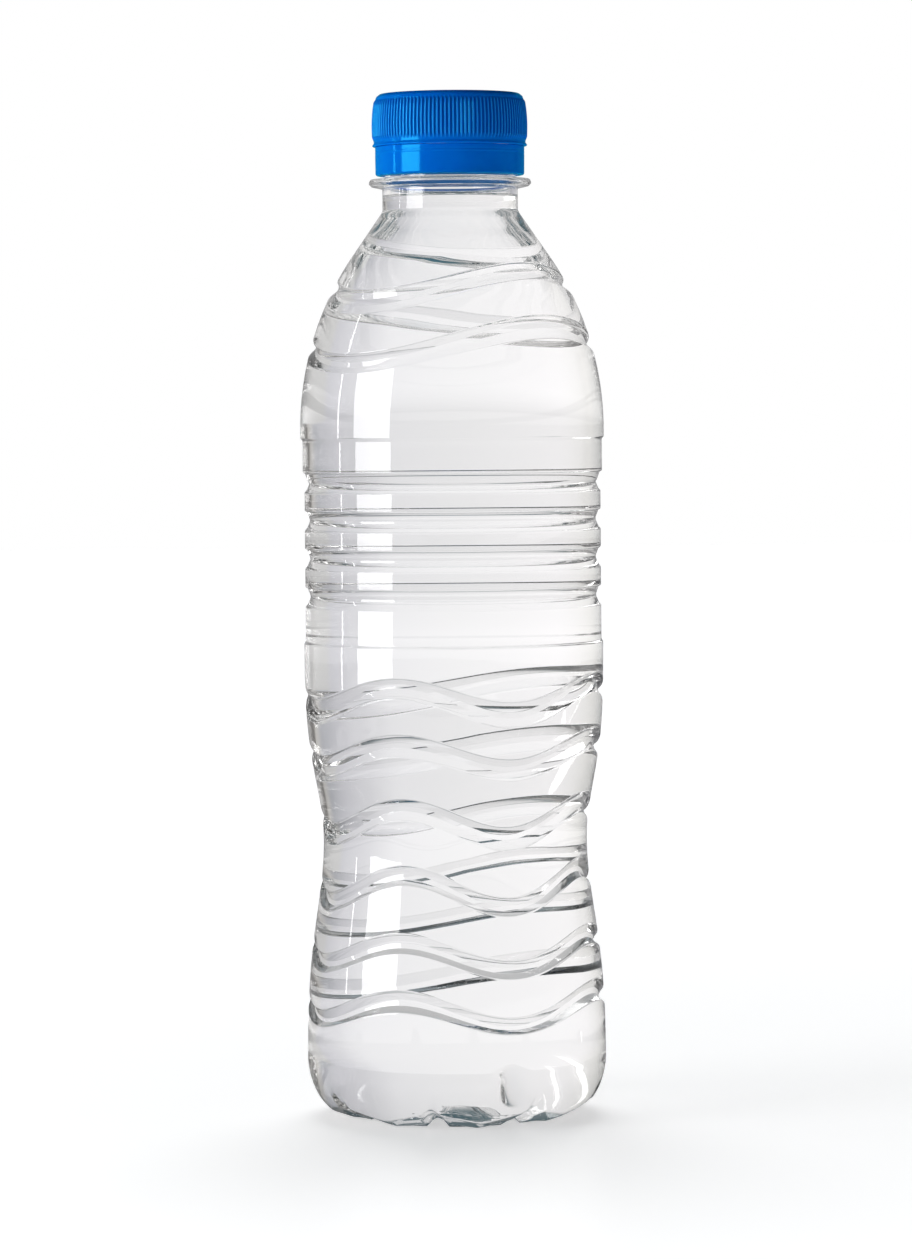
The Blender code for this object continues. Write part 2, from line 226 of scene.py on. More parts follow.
# Marks that the flowing plastic left, its fine grain, drawn coarser than the real one so that it
# shows, and the clouds in the closure inside's colour and painted glow, which stands in for the light that
# comes through it
FLOW_SIZE = 5.0 * MM
GRAIN_SIZE = 0.8 * MM
GRAIN_DEPTH = 0.004 * MM
CLOUD_SIZE = 6.0 * MM

# Water: its level, its clearance to the wall, and (distance from the bore, drop) of its curved edge
WATER_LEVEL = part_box("water")[1].z
WATER_GAP = 0.05 * MM
MENISCUS = (
    (WATER_GAP, 0.0),
    (0.2 * MM, 0.25 * MM),
    (0.6 * MM, 0.38 * MM),
    (1.4 * MM, 0.42 * MM),
    (BORE_RADIUS, 0.42 * MM),
)

# Light that the bottle sees, by degrees round from +Y towards +X, and by degrees above the horizon
BACKDROP_ROUND = (
    (-180, (0.22, 0.22, 0.22)),
    (-120, (0.22, 0.22, 0.22)),
    (-100, (0.35, 0.35, 0.35)),
    (-80, (0.84, 0.84, 0.83)),
    (-60, (0.93, 0.93, 0.91)),
    (-44, (0.97, 0.96, 0.94)),
    (-25, (0.98, 0.97, 0.98)),
    (0, (0.89, 0.89, 0.9)),
    (12, (0.85, 0.85, 0.87)),
    (20, (0.70, 0.70, 0.73)),
    (30, (0.61, 0.61, 0.65)),
    (43, (0.44, 0.45, 0.49)),
    (50, (0.62, 0.60, 0.57)),
    (53, (0.1, 0.09, 0.08)),
    (58, (0.12, 0.11, 0.1)),
    (63, (0.5, 0.49, 0.47)),
    (80, (0.5, 0.5, 0.48)),
    (110, (0.22, 0.22, 0.22)),
    (180, (0.22, 0.22, 0.22)),
)
BACKDROP_UP = (
    (-90, (1, 1, 1)),
    (4, (1, 1, 1)),
    (9, (0.95, 0.95, 0.95)),
    (16, (0.9, 0.9, 0.9)),
    (21, (0.8, 0.8, 0.8)),
    (25, (0.3, 0.34, 0.35)),
    (31, (0.08, 0.14, 0.16)),
    (45, (0.07, 0.13, 0.15)),
    (90, (0.08, 0.13, 0.15)),
)
# What the bottle sees of the floor, by millimetres out from its axis: a painted dark blue-green shade
# under it, then its painted grey shadow, then white
FLOOR_PAINTED_SHADOW = (
    (0, (0.04, 0.13, 0.18)),
    (20, (0.07, 0.16, 0.2)),
    (34, (0.5, 0.51, 0.51)),
    (55, (0.56, 0.56, 0.56)),
    (75, (0.62, 0.62, 0.62)),
    (95, (0.84, 0.84, 0.84)),
    (110, (0.97, 0.97, 0.97)),
    (500, (0.97, 0.97, 0.97)),
    (1800, (1, 1, 1)),
    (4000, (0.85, 0.85, 0.85)),
)
# The least light that the bottle sees on the floor behind it and on the camera's side, and half the
# width of the band between them
FLOOR_LEAST_BEHIND = 0.58
FLOOR_LEAST_NEAR = 0.85
FLOOR_BLEND = 0.05
# Strength of the surroundings where a smooth surface mirrors them, and of the floor seen through one
MIRRORED = 0.4
FLOOR_THROUGH = 1.12
FLOOR_SIZE = 8.0
# The floor's own light, (distance from the bottle, strength): it grows outwards and hides the horizon
FLOOR_GLOW = ((0.06, 0.5), (0.7, 0.68))
# Lamps: name, degrees round from the camera's side, degrees up, distance, width, height and radiance
SOFTBOXES = (
    ("key_softbox", -63, 8, 1.1, 0.62, 0.7, 5.5),
    ("strip_light", -95, 12, 1.1, 0.025, 0.9, 9.0),
)
LAMP_AIM_HEIGHT = 0.08
FLOOR_LAMP_STRENGTH = 1.1
FLOOR_LAMP_TILT = math.radians(-28)
FLOOR_LAMP_SPREAD = math.radians(34)
# Bounces that light needs through both walls, the water and the closure
BOUNCES = 32
SEE_THROUGH_BOUNCES = 24
CAMERA_ROLL = math.radians(-0.472)
CAMERA_SHIFT_X = 0.0027
CAMERA_SHIFT_Y = -0.1
SENSOR_WIDTH = 36


def linear(code):
    """Linear colour of an sRGB hex code such as #1A73E8."""
    channels = []
    for place in (1, 3, 5):
        value = int(code[place : place + 2], 16) / 255
        channels.append(value / 12.92 if value <= 0.04045 else ((value + 0.055) / 1.055) ** 2.4)
    return (*channels, 1.0)


class BottleSettings(PropertyGroup):
    """Sizes and tint of the clear container and its filling."""

    segments: IntProperty(name="Segments", description="Points round the bottle", default=168)
    wall: FloatProperty(
        name="Wall", description="Thickness of the blown wall", default=0.25 * MM, unit="LENGTH"
    )
    lip: FloatProperty(
        name="Lip", description="Radius of a groove's edge", default=0.28 * MM, unit="LENGTH"
    )
    foot: FloatProperty(
        name="Foot", description="Radius at a groove's foot", default=0.15 * MM, unit="LENGTH"
    )
    ripple: FloatProperty(
        name="Ripple", description="Depth of the wall's unevenness", default=0.002 * MM, unit="LENGTH"
    )
    # Linear, because the steps of a hex code are coarser than this tint
    tint: FloatVectorProperty(
        name="Tint",
        description="Colour of the clear plastic",
        default=(0.988, 0.986, 0.984),
        subtype="COLOR",
    )


class ClosureSettings(PropertyGroup):
    """Sizes and colours of the screw cap and its tamper band."""

    ribs: IntProperty(name="Ribs", description="Grip ribs round the cap", default=120)
    rib_depth: FloatProperty(
        name="Rib depth", description="How far a rib stands out", default=0.3 * MM, unit="LENGTH"
    )
    rib_width: FloatProperty(
        name="Rib width", description="Width of a rib at its foot", default=0.56 * MM, unit="LENGTH"
    )
    blue: FloatVectorProperty(
        name="Blue", description="Colour of the plastic", default=linear("#005FC8")[:3], subtype="COLOR"
    )
    flow_blue: FloatVectorProperty(
        name="Flow marks",
        description="Colour of the plastic's paler flow marks",
        default=linear("#006CDA")[:3],
        subtype="COLOR",
    )
    # Painted shade: a darker blue over the ribbed height, for the shade between the ribs
    painted_shade_blue: FloatVectorProperty(
        name="Between ribs",
        description="Colour between the ribs",
        default=linear("#004FB4")[:3],
        subtype="COLOR",
    )
    # Painted highlight: a paler blue along the crests, for the light that the thin ribs let through
    painted_highlight_blue: FloatVectorProperty(
        name="Rib crests",
        description="Colour of the ribs' crests, which let light through",
        default=linear("#1A82E2")[:3],
        subtype="COLOR",
    )


class StageSettings(PropertyGroup):
    """Place and lens of the camera."""

    distance: FloatProperty(
        name="Distance", description="Camera to the bottle's axis", default=1.05, unit="LENGTH"
    )
    height: FloatProperty(name="Height", description="Height of the camera", default=0.1505, unit="LENGTH")
    lens: FloatProperty(
        name="Lens", description="Focal length of the camera", default=142.9, unit="CAMERA"
    )
    pitch: FloatProperty(
        name="Pitch",
        description="How far the camera looks down",
        default=math.radians(1.215),
        unit="ROTATION",
    )


def smooth(low, high, value):
    """0 below low, 1 above high, with an even ease between them."""
    share = min(max((value - low) / (high - low), 0.0), 1.0)
    return share * share * (3 - 2 * share)


def between(points, value):
    """Straight interpolation in a list of (place, amount), held level past both ends."""
    if value <= points[0][0]:
        return points[0][1]
    for (low, start), (high, end) in zip(points, points[1:]):
        if value <= high:
            return start + (end - start) * (value - low) / (high - low)
    return points[-1][1]


def wave_lift(level, angle):
    """How far the waves, and the rise at the back, lift or lower the wall at a level."""
    lower = ((LOWER_WAVES_START, 0), *LOWER_GROOVES, (LOWER_WAVES_END, 0))
    risen = ((LOWER_WAVES_START, 0), *BACK_RISE)
    upper = ((SHOULDER_WAVES_START, 0), *SHOULDER_GROOVES, (SHOULDER_WAVES_END, 0))
    lift = between(lower, level) * math.cos(LOWER_WAVES * (angle - LOWER_CREST))
    lift += between(risen, level) * ((1 + math.sin(angle)) / 2) ** 2
    return lift + between(upper, level) * math.cos(SHOULDER_WAVES * (angle - SHOULDER_CREST))


def plain_radius(height):
    """Radius of the turned shape that the grooves are sunk into."""
    if height > CONE_START:
        at_start = plain_radius(CONE_START)
        return between(((CONE_START, at_start), (CONE_END, NECK_RADIUS)), height)
    if height > SHOULDER_START:
        rise = height - SHOULDER_START
        return SHOULDER_RADIUS - SHOULDER_ARC + math.sqrt(SHOULDER_ARC**2 - rise**2)
    spread = WAIST_SPREAD_ABOVE if height > WAIST_HEIGHT else WAIST_SPREAD_BELOW
    waisted = BODY_RADIUS - WAIST_DEPTH * math.exp(-(((height - WAIST_HEIGHT) / spread) ** 2))
    grip = smooth(GRIP_BOTTOM - STEP_WIDTH / 2, GRIP_BOTTOM + STEP_WIDTH / 2, height)
    collar = smooth(RING_HEIGHTS[-1] - STEP_WIDTH / 2, RING_HEIGHTS[-1] + STEP_WIDTH / 2, height)
    top = smooth(GRIP_TOP - STEP_WIDTH / 2, GRIP_TOP + STEP_WIDTH / 2, height)
    gripped = waisted + grip * (GRIP_RADIUS - waisted)
    return gripped + collar * (COLLAR_RADIUS - GRIP_RADIUS) + top * (SHOULDER_RADIUS - COLLAR_RADIUS)


def grooves():
    """(level, widths, depth) of every groove, from the lowest up."""
    found = []
    for level, _ in LOWER_GROOVES:
        found.append((level, HIGH_WAVE if level > WAIST_HEIGHT else LOW_WAVE, LOWER_DEPTH))
    found += [(level, RING, RING_DEPTH) for level in RING_HEIGHTS]
    found += [(level, SHOULDER_WAVE, SHOULDER_DEPTH) for level, _ in SHOULDER_GROOVES]
    return found


def stretch(start, end, spacing):
    """Even steps from start, left out, to end, kept, none longer than the spacing."""
    steps = max(1, math.ceil((end - start) / spacing))
    return [start + (end - start) * step / steps for step in range(1, steps + 1)]


def plain_rows(start, end, spacing):
    """(no depth, level) rows of the wall where no groove is sunk."""
    return [(0.0, level) for level in stretch(start, end, spacing)]


def wall_outline(settings):
    """(radius, level) up the outside of the blown wall, with rounded edges and feet of its grooves."""
    sunk = [(0.0, LOWER_WAVES_START)]
    for level, widths, depth in grooves():
        low = level - sum(widths) / 2
        high = level + sum(widths) / 2
        low_lip, low_flank, _, high_flank, high_lip = widths
        for step in (GRIP_BOTTOM, GRIP_TOP):
            if sunk[-1][1] < step < low:
                sunk += plain_rows(sunk[-1][1], step - STEP_WIDTH / 2, ROW_SPACING)
                sunk += plain_rows(sunk[-1][1], step + STEP_WIDTH / 2, STEP_ROW_SPACING)
        sunk += plain_rows(sunk[-1][1], low - MARGIN, ROW_SPACING)
        sunk += rounded(
            (
                (0.0, low - MARGIN, 0),
                (0.0, low, settings.lip),
                (LIP_DEPTH, low + low_lip, 0),
                (depth, low + low_lip + low_flank, settings.foot),
                (depth, high - high_lip - high_flank, settings.foot),
                (LIP_DEPTH, high - high_lip, 0),
                (0.0, high, settings.lip),
                (0.0, high + MARGIN, 0),
            ),
            steps=2,
        )[1:]
    sunk += plain_rows(sunk[-1][1], CONE_START, ROW_SPACING)
    sunk += plain_rows(CONE_START, CONE_END - 0.5 * MM, CONE_ROW_SPACING)
    return [(plain_radius(level) - depth, level) for depth, level in sunk]


def inset(outline, amount_at):
    """The outline moved square to itself, in from the outside, by an amount that depends on the height."""
    moved = []
    ends = [outline[0], *outline, outline[-1]]
    for before, (radius, height), after in zip(ends, outline, ends[2:]):
        along = Vector((after[0] - before[0], after[1] - before[1])).normalized()
        amount = amount_at(height)
        moved.append((max(radius - along.y * amount, 0.0) if radius else 0.0, height + along.x * amount))
    return moved


def wall_at(height, settings):
    """Thickness of the wall at a height: thicker at the base and where the neck begins."""
    base_end, blown_start = BASE_WALL_FADE
    walls = (
        (base_end, BASE_WALL),
        (blown_start, settings.wall),
        (NECK_WALL_START, settings.wall),
        *NECK_WALLS,
    )
    return between(walls, height)


def base_outline():
    """(radius, height) from the middle of the base to the foot of the wall, between the foot grooves."""
    outline = [(radius, height) for radius, height, _ in PUSH_UP]
    for step in range(HEEL_STEPS):
        slope = math.pi / 2 * (1 - step / HEEL_STEPS)
        radius = PAD_OUTER_RADIUS + (BODY_RADIUS - PAD_OUTER_RADIUS) * math.cos(slope)
        outline.append((radius, HEEL_HEIGHT * (1 - math.sin(slope))))
    return outline


def gather(height, angle):
    """Draws the points of a low row together towards the grooves between the feet."""
    share = GATHER * (1 - smooth(*GATHER_FADE, height))
    return angle - share / FEET * math.sin(FEET * (angle - FOOT_GROOVE_ANGLE))


def foot_push(radius, height, angle):
    """(outward, upward) move of a point of the base between two feet.

    A wide valley lifts it, and along the valley's middle runs a round groove. Both depend on the heel's
    slope and on the distance to the side only, so that the wall keeps its thickness.
    """
    pitch = TURN / FEET
    away = radius * abs((angle - FOOT_GROOVE_ANGLE + pitch / 2) % pitch - pitch / 2)
    if radius > PAD_OUTER_RADIUS:
        across = (radius - PAD_OUTER_RADIUS) / (BODY_RADIUS - PAD_OUTER_RADIUS)
        slope = math.atan2(max(HEEL_HEIGHT - height, 0.0) / HEEL_HEIGHT, across)
        heel_radius = PAD_OUTER_RADIUS + (BODY_RADIUS - PAD_OUTER_RADIUS) * math.cos(slope)
        heel_height = HEEL_HEIGHT * (1 - math.sin(slope))
        (low_radius, low), (high_radius, high) = FOOT_GROOVE_SLOPE
        along = Vector((high_radius - low_radius, high - low)).normalized()
        beyond = (heel_radius - low_radius) * along.y - (heel_height - low) * along.x
        least = FOOT_GROOVE_DEPTH * smooth(*FOOT_GROOVE_FADE, math.degrees(slope))
        deep = min(max(beyond, least), FOOT_GROOVE_DEPTH)
    else:
        slope = math.pi / 2
        heel_radius = radius
        heel_height = 0.0
        deep = FOOT_GROOVE_DEPTH * between([(place, share) for place, _, share in PUSH_UP], radius)
    valley = max((heel_radius - VALLEY_START) * VALLEY_RISE - VALLEY_SIDE * away - heel_height, 0.0)
    if away < FOOT_GROOVE_ROUNDING:
        deep -= FOOT_GROOVE_ROUNDING - math.sqrt(FOOT_GROOVE_ROUNDING**2 - away**2)
    else:
        deep = 0.0
    depth = max(deep, 0.0)
    return -depth * math.cos(slope), depth * math.sin(slope) + valley


def rounded(corners, steps=3):
    """Points of an outline whose corners, given as (radius, height, rounding), become arcs."""
    points = []
    for index, (x, y, rounding) in enumerate(corners):
        here = Vector((x, y))
        if rounding == 0 or index in (0, len(corners) - 1):
            points.append((x, y))
            continue
        back = Vector(corners[index - 1][:2]) - here
        ahead = Vector(corners[index + 1][:2]) - here
        half = back.angle(ahead) / 2
        reach = rounding / math.tan(half)
        centre = here + (back.normalized() + ahead.normalized()).normalized() * (rounding / math.sin(half))
        start = here + back.normalized() * reach - centre
        end = here + ahead.normalized() * reach - centre
        parts = steps if rounding > TIGHT else 1
        for part in range(parts + 1):
            spoke = start.lerp(end, part / parts).normalized() * rounding
            points.append(tuple(centre + spoke))
    return points


def neck_outline():
    """(radius, height) up the outside of the neck from the cone to the lip, and down the bore."""
    rings = rounded(
        (
            (NECK_RADIUS + 0.6 * MM, 188.8 * MM, 0),
            (NECK_RADIUS, CONE_END + 0.2 * MM, 0.5 * MM),
            (NECK_RADIUS, 194.3 * MM, 0.15 * MM),
            (16.5 * MM, 194.8 * MM, 0.08 * MM),
            (17.0 * MM, 195.35 * MM, 0.08 * MM),
            (17.0 * MM, 195.7 * MM, 0.08 * MM),
            (16.7 * MM, 196.3 * MM, 0.12 * MM),
            (THREAD_ROOT, 196.5 * MM, 0.3 * MM),
            (THREAD_ROOT, 198.8 * MM, 0.1 * MM),
            (14.45 * MM, 199.4 * MM, 0.25 * MM),
            (14.45 * MM, 200.0 * MM, 0.2 * MM),
            (THREAD_ROOT, 200.9 * MM, 0.1 * MM),
            (THREAD_ROOT, 201.9 * MM, 0),
        )
    )
    bottom = rings[-1][1]
    top = THREAD_START + PITCH * THREAD_TURNS + 1.1 * MM
    steps = round((top - bottom) / THREAD_ROW_SPACING)
    thread = [(THREAD_ROOT, bottom + (top - bottom) * step / steps) for step in range(1, steps + 1)]
    lip = rounded(
        (
            (THREAD_ROOT, 211.0 * MM, 0),
            (THREAD_ROOT, LIP_HEIGHT, 0.6 * MM),
            (BORE_RADIUS, LIP_HEIGHT, 0.4 * MM),
            (BORE_RADIUS, 197.0 * MM, 0),
        )
    )
    return rings[1:] + thread + lip + [(BORE_RADIUS, WATER_LEVEL), (BORE_RADIUS, CONE_END + 1.2 * MM)]


def thread_rise(radius, height, angle):
    """How far the neck's screw thread stands out of its root at a point."""
    if not THREAD_ROOT - MERGE < radius < THREAD_ROOT + MERGE:
        return 0.0
    rise = 0.0
    for whole in range(-1, 3):
        turn = (angle % TURN) / TURN + whole
        if 0 <= turn <= THREAD_TURNS:
            away = abs(height - THREAD_START - PITCH * turn)
            ends = min(1.0, turn / THREAD_RUN_OUT, (THREAD_TURNS - turn) / THREAD_RUN_OUT)
            rise = max(rise, (THREAD_CREST - THREAD_ROOT) * ends * (1 - smooth(*THREAD_FLANK, away)))
    return rise


def bend(obj):
    """Gives a turned shape the waves of its grooves, the grooves between its feet and its thread."""
    for vertex in obj.data.vertices:
        x, y, height = vertex.co
        radius = math.hypot(x, y)
        if radius < MERGE:
            continue
        angle = gather(height, math.atan2(y, x))
        if height < LOWER_WAVES_START:
            outward, upward = foot_push(radius, height, angle)
        elif height < CONE_END:
            upward = wave_lift(height, angle)
            outward = plain_radius(height + upward) - plain_radius(height)
        else:
            upward = 0.0
            outward = thread_rise(radius, height, angle)
        radius += outward
        vertex.co = (radius * math.cos(angle), radius * math.sin(angle), height + upward)
    obj.data.update()


def lathe(name, outline, segments):
    """Turns a closed (radius, height) outline once round Z. A circle's points are moved to the outline."""
    bpy.ops.object.select_all(action="DESELECT")
    bpy.ops.mesh.primitive_circle_add(vertices=len(outline), radius=1, fill_type="NOTHING")
    obj = bpy.context.object
    obj.name = name
    obj.data.name = name
    for vertex, (radius, height) in zip(obj.data.vertices, outline):
        vertex.co = (radius, 0.0, height)
    screw = obj.modifiers.new("turn", "SCREW")
    screw.angle = TURN
    screw.steps = segments
    screw.render_steps = segments
    screw.use_merge_vertices = True
    screw.merge_threshold = MERGE
    bpy.ops.object.modifier_apply(modifier=screw.name)
    bpy.ops.object.mode_set(mode="EDIT")
    bpy.ops.mesh.select_all(action="SELECT")
    bpy.ops.mesh.delete_loose(use_verts=True, use_edges=True, use_faces=False)
    bpy.ops.mesh.select_all(action="SELECT")
    bpy.ops.mesh.normals_make_consistent(inside=False)
    bpy.ops.object.mode_set(mode="OBJECT")
    triangles = sum(len(face.vertices) - 2 for face in obj.data.polygons)
    if triangles > MOST_TRIANGLES:
        raise RuntimeError(f"{name} has {triangles} triangles")
    return obj


def shade_by_area(obj):
    """Smooth shading in which a wide face keeps its own direction next to a narrow rounded edge."""
    obj.data.shade_smooth()
    modifier = obj.modifiers.new("weighted", "WEIGHTED_NORMAL")
    modifier.mode = "FACE_AREA"
    modifier.weight = 50
    bpy.ops.object.modifier_apply(modifier=modifier.name)


def place_node(tree, kind, settings=None, inputs=None):
    """Adds a node, sets its properties and its sockets, and links a socket that is given an output."""
    made = tree.nodes.new(kind)
    for name, value in (settings or {}).items():
        setattr(made, name, value)
    for name, value in (inputs or {}).items():
        sockets = [socket for socket in made.inputs if socket.name == name and socket.enabled]
        socket = sockets[0] if sockets else made.inputs[name]
        if isinstance(value, bpy.types.NodeSocket):
            tree.links.new(value, socket)
        else:
            socket.default_value = value
    return made


def new_material(name):
    """An empty node material and its output node."""
    material = bpy.data.materials.new(name)
    material.use_nodes = True
    material.node_tree.nodes.clear()
    output = material.node_tree.nodes.new("ShaderNodeOutputMaterial")
    return material, material.node_tree, output


def clear_plastic(name, ior, settings):
    """Blown PET: clear and hard with a mirror-like skin, uneven by thousandths of a millimetre."""
    material, tree, output = new_material(name)
    place = place_node(tree, "ShaderNodeTexCoord").outputs["Object"]
    ripple = place_node(
        tree, "ShaderNodeTexNoise", inputs={"Vector": place, "Scale": 1 / RIPPLE_SPACING, "Detail": 1.0}
    )
    bump = place_node(
        tree,
        "ShaderNodeBump",
        inputs={"Height": ripple.outputs["Fac"], "Distance": settings.ripple, "Strength": 1.0},
    )
    shader = place_node(
        tree,
        "ShaderNodeBsdfPrincipled",
        inputs={
            "Base Color": (*settings.tint, 1.0),
            "Roughness": 0.0,
            "IOR": ior,
            "Transmission Weight": 1.0,
            "Normal": bump.outputs["Normal"],
        },
    )
    tree.links.new(shader.outputs["BSDF"], output.inputs["Surface"])
    return material


def water_surface():
    """Still water against air."""
    material, tree, output = new_material("water_surface")
    shader = place_node(
        tree,
        "ShaderNodeBsdfPrincipled",
        inputs={
            "Base Color": linear("#FFFFFF"),
            "Roughness": 0.0,
            "IOR": WATER_IOR,
            "Transmission Weight": 1.0,
        },
    )
    tree.links.new(shader.outputs["BSDF"], output.inputs["Surface"])
    return material


def water_side():
    """Water against the wetted wall, whose own material already bends the light there."""
    material, tree, output = new_material("water_side")
    shader = place_node(tree, "ShaderNodeBsdfTransparent", inputs={"Color": linear("#FFFFFF")})
    tree.links.new(shader.outputs["BSDF"], output.inputs["Surface"])
    return material


def moulded_blue(name, settings):
    """Injection-moulded HDPE: saturated blue, satin, with a sheen of its own colour.

    The ribbed height is painted a darker blue, a painted shade between the ribs, and the crests a paler
    one, a painted highlight for the light that the thin ribs let through.
    """
    material, tree, output = new_material(name)
    place = place_node(tree, "ShaderNodeTexCoord").outputs["Object"]
    flow = place_node(
        tree, "ShaderNodeTexNoise", inputs={"Vector": place, "Scale": 1 / FLOW_SIZE, "Detail": 2.0}
    )
    ribbed, crest = rib_shares(tree, place, settings.ribs)
    shade = (*settings.blue, 1.0)
    # The ribbed height gets a painted shade and the ribs' crests a painted highlight
    for share, blue in (
        (flow.outputs["Fac"], settings.flow_blue),
        (ribbed, settings.painted_shade_blue),
        (crest, settings.painted_highlight_blue),
    ):
        mixed = place_node(
            tree, "ShaderNodeMix", {"data_type": "RGBA"}, {"Factor": share, "A": shade, "B": (*blue, 1.0)}
        )
        shade = mixed.outputs["Result"]
    grain = place_node(
        tree, "ShaderNodeTexNoise", inputs={"Vector": place, "Scale": 1 / GRAIN_SIZE, "Detail": 2.0}
    )
    bump = place_node(
        tree,
        "ShaderNodeBump",
        inputs={"Height": grain.outputs["Fac"], "Distance": GRAIN_DEPTH, "Strength": 1.0},
    )
    body = place_node(
        tree,
        "ShaderNodeBsdfPrincipled",
        inputs={
            "Base Color": shade,
            "Roughness": 1.0,
            "Specular IOR Level": 0.0,
            "Subsurface Weight": 0.4,
            "Subsurface Radius": (0.1, 0.5, 1.2),
            "Subsurface Scale": 0.7 * MM,
            "Normal": bump.outputs["Normal"],
        },
    )
    sheen = place_node(
        tree,
        "ShaderNodeBsdfAnisotropic",
        inputs={"Color": linear("#30D4FF"), "Roughness": 0.1, "Normal": bump.outputs["Normal"]},
    )
    slant = place_node(tree, "ShaderNodeFresnel", inputs={"IOR": 1.75, "Normal": bump.outputs["Normal"]})
    mix = place_node(
        tree,
        "ShaderNodeMixShader",
        inputs={0: slant.outputs["Fac"], 1: body.outputs[0], 2: sheen.outputs[0]},
    )
    tree.links.new(mix.outputs[0], output.inputs["Surface"])
    return material


def painted_glow_inside(name):
    """The closure's inside: a deep, cloudy blue that is its colour and also a painted glow, an emission
    that stands in for the light that comes through its thin wall.
    """
    material, tree, output = new_material(name)
    place = place_node(tree, "ShaderNodeTexCoord").outputs["Object"]
    clouds = place_node(
        tree, "ShaderNodeTexNoise", inputs={"Vector": place, "Scale": 1 / CLOUD_SIZE, "Detail": 1.0}
    )
    # Painted glow: these blues are the inside's colour and also its emission, in place of light coming
    # through the wall
    blues = place_node(
        tree,
        "ShaderNodeMix",
        {"data_type": "RGBA"},
        {"Factor": clouds.outputs["Fac"], "A": linear("#08426E"), "B": linear("#14629C")},
    )
    shader = place_node(
        tree,
        "ShaderNodeBsdfPrincipled",
        inputs={
            "Base Color": blues.outputs["Result"],
            "Roughness": 0.5,
            "Emission Color": blues.outputs["Result"],
            "Emission Strength": 0.9,
        },
    )
    tree.links.new(shader.outputs["BSDF"], output.inputs["Surface"])
    return material


def rib_shares(tree, place, ribs):
    """Two sockets, the masks of the painted shade and the painted highlight: 1 all over the ribbed height,
    and 1 only along the crests of the ribs.
    """
    axes = place_node(tree, "ShaderNodeSeparateXYZ", inputs={"Vector": place})
    angle = place_node(
        tree, "ShaderNodeMath", {"operation": "ARCTAN2"}, {0: axes.outputs["Y"], 1: axes.outputs["X"]}
    )
    turns = place_node(
        tree, "ShaderNodeMath", {"operation": "MULTIPLY"}, {0: angle.outputs[0], 1: float(ribs)}
    )
    wave = place_node(tree, "ShaderNodeMath", {"operation": "COSINE"}, {0: turns.outputs[0]})
    pale, palest = CREST_EDGE
    crest = place_node(
        tree, "ShaderNodeMapRange", inputs={"Value": wave.outputs[0], "From Min": pale, "From Max": palest}
    )
    ends = []
    for none, full in ((RIB_BOTTOM, RIB_BOTTOM + SHADE_FADE_LOW), (RIB_TOP, RIB_TOP - SHADE_FADE_HIGH)):
        end = place_node(
            tree,
            "ShaderNodeMapRange",
            inputs={"Value": axes.outputs["Z"], "From Min": none, "From Max": full},
        )
        ends.append(end.outputs["Result"])
    ribbed = place_node(tree, "ShaderNodeMath", {"operation": "MULTIPLY"}, {0: ends[0], 1: ends[1]})
    on_crest = place_node(
        tree,
        "ShaderNodeMath",
        {"operation": "MULTIPLY"},
        {0: ribbed.outputs[0], 1: crest.outputs["Result"]},
    )
    return ribbed.outputs[0], on_crest.outputs[0]


class MakeBottle(Operator):
    """Turn the clear container with both walls, bend its grooves and give it its plastic"""

    bl_idname = "bottle.make_bottle"
    bl_label = "Bottle"

    def execute(self, context):
        settings = context.scene.bottle_settings
        outside = base_outline() + wall_outline(settings)
        inside = inset(outside, lambda height: wall_at(height, settings))
        outline = outside + neck_outline() + inside[::-1]
        bottle = lathe("bottle_fine", outline, settings.segments)
        wetted = wetted_faces(bottle)
        bend(bottle)
        shade_by_area(bottle)
        bottle.data.materials.append(clear_plastic("clear_pet", PET_IOR, settings))
        bottle.data.materials.append(clear_plastic("clear_pet_wetted", PET_IOR / WATER_IOR, settings))
        for face in wetted:
            bottle.data.polygons[face].material_index = 1
        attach(bottle, "container")
        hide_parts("bottle")
        return {"FINISHED"}


def wetted_faces(bottle):
    """Numbers of the inner faces below the water's level, found before the waves are bent."""
    found = []
    for face in bottle.data.polygons:
        if face.center.z > WATER_LEVEL:
            continue
        if face.center.z < HEEL_HEIGHT and face.center.xy.length < PAD_OUTER_RADIUS:
            inner = face.normal.z > 0
        else:
            inner = faces_axis(face)
        if inner:
            found.append(face.index)
    return found


def faces_axis(face):
    """Whether a face is turned towards the bottle's axis."""
    return face.normal.xy.dot(face.center.xy) < 0


class MakeWater(Operator):
    """Turn the water against the inside of the container, up to its level in the neck"""

    bl_idname = "bottle.make_water"
    bl_label = "Water"

    def execute(self, context):
        settings = context.scene.bottle_settings
        container = base_outline() + wall_outline(settings)
        outline = inset(container, lambda height: wall_at(height, settings) + WATER_GAP)
        outline.append((BORE_RADIUS - WATER_GAP, CONE_END + 0.5 * MM))
        outline += [(BORE_RADIUS - inward, WATER_LEVEL - drop) for inward, drop in MENISCUS]
        water = lathe("water_fine", outline, settings.segments)
        top = top_faces(water)
        bend(water)
        shade_by_area(water)
        water.data.materials.append(water_side())
        water.data.materials.append(water_surface())
        for face in top:
            water.data.polygons[face].material_index = 1
        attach(water, "container")
        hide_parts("water")
        return {"FINISHED"}


def top_faces(water):
    """Numbers of the faces of the water's free surface."""
    found = []
    for face in water.data.polygons:
        if face.center.z > CONE_END + 1 * MM and face.normal.z > 0.3:
            found.append(face.index)
    return found


